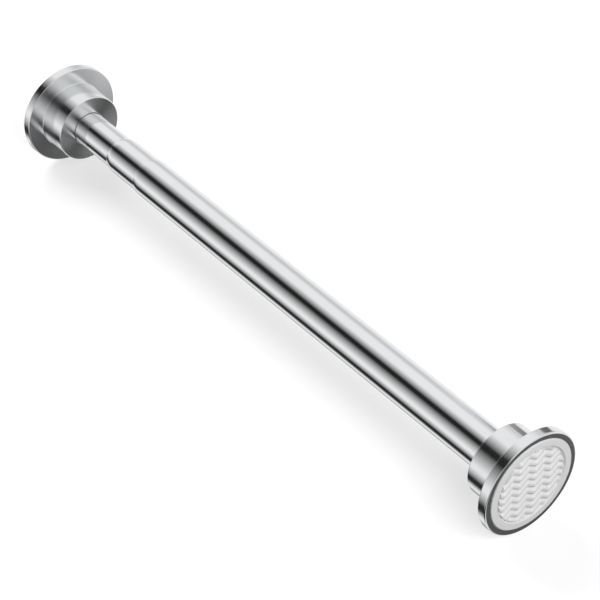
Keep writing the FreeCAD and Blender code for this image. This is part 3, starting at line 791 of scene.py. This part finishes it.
class TENSIONROD_OT_inner_fittings(Operator):
    """Finish the pieces inside: cap bases, plugs, twist lock, screws and washers"""

    bl_idname = "tension_rod.inner_fittings"
    bl_label = "Inner Fittings"

    def execute(self, context):
        finishes = context.scene.tension_rod.finishes
        plastic = moulded("Base Plastic", finishes.plastic, roughness=0.55, fineness=1600.0,
                          grain_height=0.00002)
        nylon = moulded("Plug Nylon", finishes.nylon, roughness=0.42, fineness=1200.0, grain_height=0.00001)
        zinc = polished("Zinc Steel", finishes.zinc, roughness=0.3, variation=0.08, fineness=1800.0,
                        line_height=0.000004)
        fittings = {
            plastic: ("outer_end_base", "inner_end_base"),
            nylon: ("outer_end_plug", "inner_end_plug", "sleeve_seat", "lock_stem", "lock_expander",
                    "lock_cone"),
            zinc: ("outer_end_washer", "outer_end_screw", "inner_end_washer", "inner_end_screw",
                   "lock_washer", "lock_screw"),
        }
        for material, names in fittings.items():
            for name in names:
                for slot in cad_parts[name].material_slots:
                    slot.material = material
        return {"FINISHED"}


# Darker strips of the white light tent: first and last turn round the rod in degrees, how far the strip fades
# out before and after them, and its brightness. 0 points along Y, 90 up and -90 down.
TENT_STRIPS = (
    (-130, -115, 5, 30, 0.1),
    (-60, -45, 20, 30, 0.02),
    (45, 60, 50, 35, 0.02),
    (150, 160, 20, 20, 0.7),
)
TENT_SIDES = 96
CARD_TURNS = (150, 180)  # where the dark card stands round the tent, in the same degrees
CARD_ENDS = (1.2, 2.5)  # and where along it
CARD_SIDES = 8
CARD_RADIUS = 0.98  # in tent radii
CARD_LEVEL, CARD_EDGE = 0.03, 0.9  # brightness of its middle and of its edges
CARD_FADE = 0.5  # where it starts to fade, as a share of the way from its middle to its edge


def glowing(name):
    """A material that only glows, its wiring and its glow."""
    material = bpy.data.materials.new(name)
    material.use_nodes = True
    material.node_tree.nodes.clear()
    material.cycles.emission_sampling = "NONE"
    wire = Wiring(material.node_tree)
    glow = wire.add("ShaderNodeEmission")
    wire.add("ShaderNodeOutputMaterial", {"Surface": glow.outputs[0]})
    return material, wire, glow


def bent_sheet(name, ends, span, sides, radius, material):
    """A sheet bent round the rod's axis, from one turn in degrees to another, that only reflections see."""
    turns = [math.radians(span[0] + (span[1] - span[0]) * i / sides) for i in range(sides + 1)]
    points = [(x, radius * math.cos(turn), radius * math.sin(turn)) for x in ends for turn in turns]
    mesh = bpy.data.meshes.new(name)
    mesh.from_pydata(points, [], [(i, i + 1, sides + i + 2, sides + i + 1) for i in range(sides)])
    mesh.materials.append(material)
    sheet = bpy.data.objects.new(name, mesh)
    sheet.visible_camera = False
    sheet.visible_diffuse = False
    sheet.visible_shadow = False
    return sheet


def light_tent(stage):
    """A long white tent round the rod, with dark strips for the chrome to mirror."""
    material, wire, glow = glowing("Light Tent")
    place = wire.parts(wire.add("ShaderNodeTexCoord").outputs["Object"])
    turn = wire.over(wire.math("ARCTAN2", place["Z"], place["Y"]), 2 * math.pi)
    ramp = wire.add("ShaderNodeValToRGB", {"Fac": wire.plus(turn, 0.5)})
    stops = [(-180, 1.0)]
    for first, last, before, after, level in TENT_STRIPS:
        stops += [(first - before, 1.0), (first, level), (last, level), (last + after, 1.0)]
    stops.append((180, 1.0))
    elements = ramp.color_ramp.elements
    for _ in range(len(stops) - len(elements)):
        elements.new(0.5)
    for element, (angle, level) in zip(elements, stops):
        element.position = angle / 360 + 0.5
        element.color = (level, level, level, 1.0)
    wire.feed(glow.inputs["Color"], ramp.outputs["Color"])
    half = stage.tent_length / 2
    return bent_sheet("light_tent", (-half, half), (-180, 180), TENT_SIDES, stage.tent_radius, material)


def dark_card(stage):
    """A soft-edged dark card inside the tent, which the outer cap mirrors on its flange and hub."""
    material, wire, glow = glowing("Dark Card")
    place = wire.parts(wire.add("ShaderNodeTexCoord").outputs["Object"])
    turn = wire.math("ARCTAN2", place["Z"], place["Y"])
    away = []
    for value, (first, last) in ((turn, map(math.radians, CARD_TURNS)), (place["X"], CARD_ENDS)):
        off = wire.math("ABSOLUTE", wire.minus(value, (first + last) / 2))
        away.append(wire.over(off, (last - first) / 2))
    edge = wire.math("MAXIMUM", *away)
    wire.feed(glow.inputs["Strength"],
              wire.spread(edge, CARD_FADE, 1.0, CARD_LEVEL, CARD_EDGE, "SMOOTHSTEP"))
    radius = stage.tent_radius * CARD_RADIUS
    return bent_sheet("dark_card", CARD_ENDS, CARD_TURNS, CARD_SIDES, radius, material)


FLOOR_REACH = 15.0
FLOOR_GAP = 0.0001  # between the caps and the floor
FADE_START = 0.2  # distance from the rod's middle at which the floor starts to go white


def pale_floor(stage):
    """A wide pale floor under the caps that keeps the rod's shadow; reflections see the tent instead."""
    level = COVER_LOW.z - FLOOR_GAP
    corners = ((-1, -1), (1, -1), (1, 1), (-1, 1))
    mesh = bpy.data.meshes.new("floor")
    mesh.from_pydata([(x * FLOOR_REACH, y * FLOOR_REACH, level) for x, y in corners], [], [(0, 1, 2, 3)])
    material, wire, shader, place = new_material("Pale Floor")
    shader.inputs["Base Color"].default_value = (*stage.floor, 1.0)
    shader.inputs["Roughness"].default_value = 0.9
    shader.inputs["Specular IOR Level"].default_value = 0.1
    seen = wire.add("ShaderNodeLightPath").outputs["Is Camera Ray"]
    away = wire.add("ShaderNodeVectorMath", {0: place, 1: (FAR_WALL / 2, 0.0, level)}, operation="DISTANCE")
    white = wire.spread(away.outputs["Value"], FADE_START, stage.floor_fade, stage.floor_lift, 1.0)
    lift = wire.add("ShaderNodeEmission", {"Strength": wire.times(seen, white)})
    both = wire.add("ShaderNodeAddShader", {0: shader.outputs[0], 1: lift.outputs[0]})
    output = next(n for n in material.node_tree.nodes if n.type == "OUTPUT_MATERIAL")
    wire.feed(output.inputs["Surface"], both.outputs[0])
    mesh.materials.append(material)
    floor = bpy.data.objects.new("floor", mesh)
    floor.visible_glossy = False
    return floor


def studio_world(scene, stage):
    """Even light from all round, and plain white where the camera, metal or glass looks past everything."""
    world = bpy.data.worlds.new("Studio")
    world.use_nodes = True
    world.node_tree.nodes.clear()
    wire = Wiring(world.node_tree)
    light = wire.add("ShaderNodeLightPath").outputs
    seen = wire.math("MAXIMUM", light["Is Camera Ray"],
                     wire.math("MAXIMUM", light["Is Glossy Ray"], light["Is Transmission Ray"]))
    fill = wire.add("ShaderNodeBackground", {"Color": (1, 1, 1, 1), "Strength": stage.fill})
    white = wire.add("ShaderNodeBackground", {"Color": (1, 1, 1, 1), "Strength": 1.0})
    mix = wire.add("ShaderNodeMixShader", {"Fac": seen, 1: fill.outputs[0], 2: white.outputs[0]})
    wire.add("ShaderNodeOutputWorld", {"Surface": mix.outputs[0]})
    scene.world = world


KEY_SIDE = (-0.74, 0.02, 0.67)  # where the softboxes stand, seen from the rod's middle
FAR_SIDE = (0.74, -0.06, 0.67)
SOFTBOX_SIZE = (1.4, 1.0)
SOFTBOX_DISTANCE = 1.6


def softbox(name, power, side):
    """A large soft lamp above the rod, off to the given side; the chrome mirrors the tent, not the lamp."""
    lamp = bpy.data.lights.new(name, "AREA")
    lamp.shape = "RECTANGLE"
    lamp.size, lamp.size_y = SOFTBOX_SIZE
    lamp.energy = power
    middle = Vector((FAR_WALL / 2, 0.0, 0.0))
    box = bpy.data.objects.new(name, lamp)
    box.location = middle + SOFTBOX_DISTANCE * Vector(side).normalized()
    box.rotation_mode = "QUATERNION"
    box.rotation_quaternion = (middle - box.location).to_track_quat("-Z", "Y")
    box.visible_glossy = False
    return box


def photo_camera(stage):
    """A long lens at the photograph's viewing angle, far enough off to hold the whole rod."""
    cosine = math.cos(stage.elevation)
    back = Vector((math.sin(stage.azimuth) * cosine, -math.cos(stage.azimuth) * cosine,
                   math.sin(stage.elevation)))
    data = bpy.data.cameras.new("camera")
    data.lens = stage.lens
    data.clip_end = 100.0
    camera = bpy.data.objects.new("camera", data)
    camera.location = Vector(stage.look_at) + back * stage.distance
    camera.rotation_mode = "QUATERNION"
    camera.rotation_quaternion = (-back).to_track_quat("-Z", "Y")
    return camera


class TENSIONROD_OT_stage(Operator):
    """Set up the floor, the light and the camera"""

    bl_idname = "tension_rod.stage"
    bl_label = "Stage"

    def execute(self, context):
        scene = context.scene
        stage = scene.tension_rod.stage
        floor, tent, card = pale_floor(stage), light_tent(stage), dark_card(stage)
        camera = photo_camera(stage)
        key = softbox("key_softbox", stage.key_power, KEY_SIDE)
        side = softbox("side_softbox", stage.side_power, FAR_SIDE)
        for thing in (floor, tent, card, key, side, camera):
            scene.collection.objects.link(thing)
        studio_world(scene, stage)
        scene.camera = camera
        scene.view_settings.view_transform = "Standard"
        return {"FINISHED"}


OPERATORS = (TENSIONROD_OT_tubes, TENSIONROD_OT_cap_covers, TENSIONROD_OT_wall_pads, TENSIONROD_OT_spring,
             TENSIONROD_OT_inner_fittings, TENSIONROD_OT_stage)


class TENSIONROD_PT_sidebar(Panel):
    """Lists the rod's settings and the operators that build it"""

    bl_idname = "TENSIONROD_PT_sidebar"
    bl_label = "Tension Rod"
    bl_space_type = "VIEW_3D"
    bl_region_type = "UI"
    bl_category = "Tension Rod"

    def draw(self, context):
        settings = context.scene.tension_rod
        for name in ("tubes", "caps", "pads", "spring", "finishes", "stage"):
            group = getattr(settings, name)
            box = self.layout.box()
            box.label(text=name.title())
            for prop in group.bl_rna.properties:
                if prop.identifier not in {"rna_type", "name"}:
                    box.prop(group, prop.identifier)
        for operator in OPERATORS:
            self.layout.operator(operator.bl_idname)


CLASSES = (TubeSizes, CapSizes, PadSizes, SpringSizes, Finishes, StageSizes, RodSettings) + OPERATORS + (
    TENSIONROD_PT_sidebar,)


def register():
    for cls in CLASSES:
        bpy.utils.register_class(cls)
    bpy.types.Scene.tension_rod = PointerProperty(type=RodSettings)


def unregister():
    del bpy.types.Scene.tension_rod
    for cls in reversed(CLASSES):
        bpy.utils.unregister_class(cls)


def main():
    register()
    bpy.ops.tension_rod.tubes()
    bpy.ops.tension_rod.cap_covers()
    bpy.ops.tension_rod.wall_pads()
    bpy.ops.tension_rod.spring()
    bpy.ops.tension_rod.inner_fittings()
    bpy.ops.tension_rod.stage()


if __name__ == "__main__":
    main()
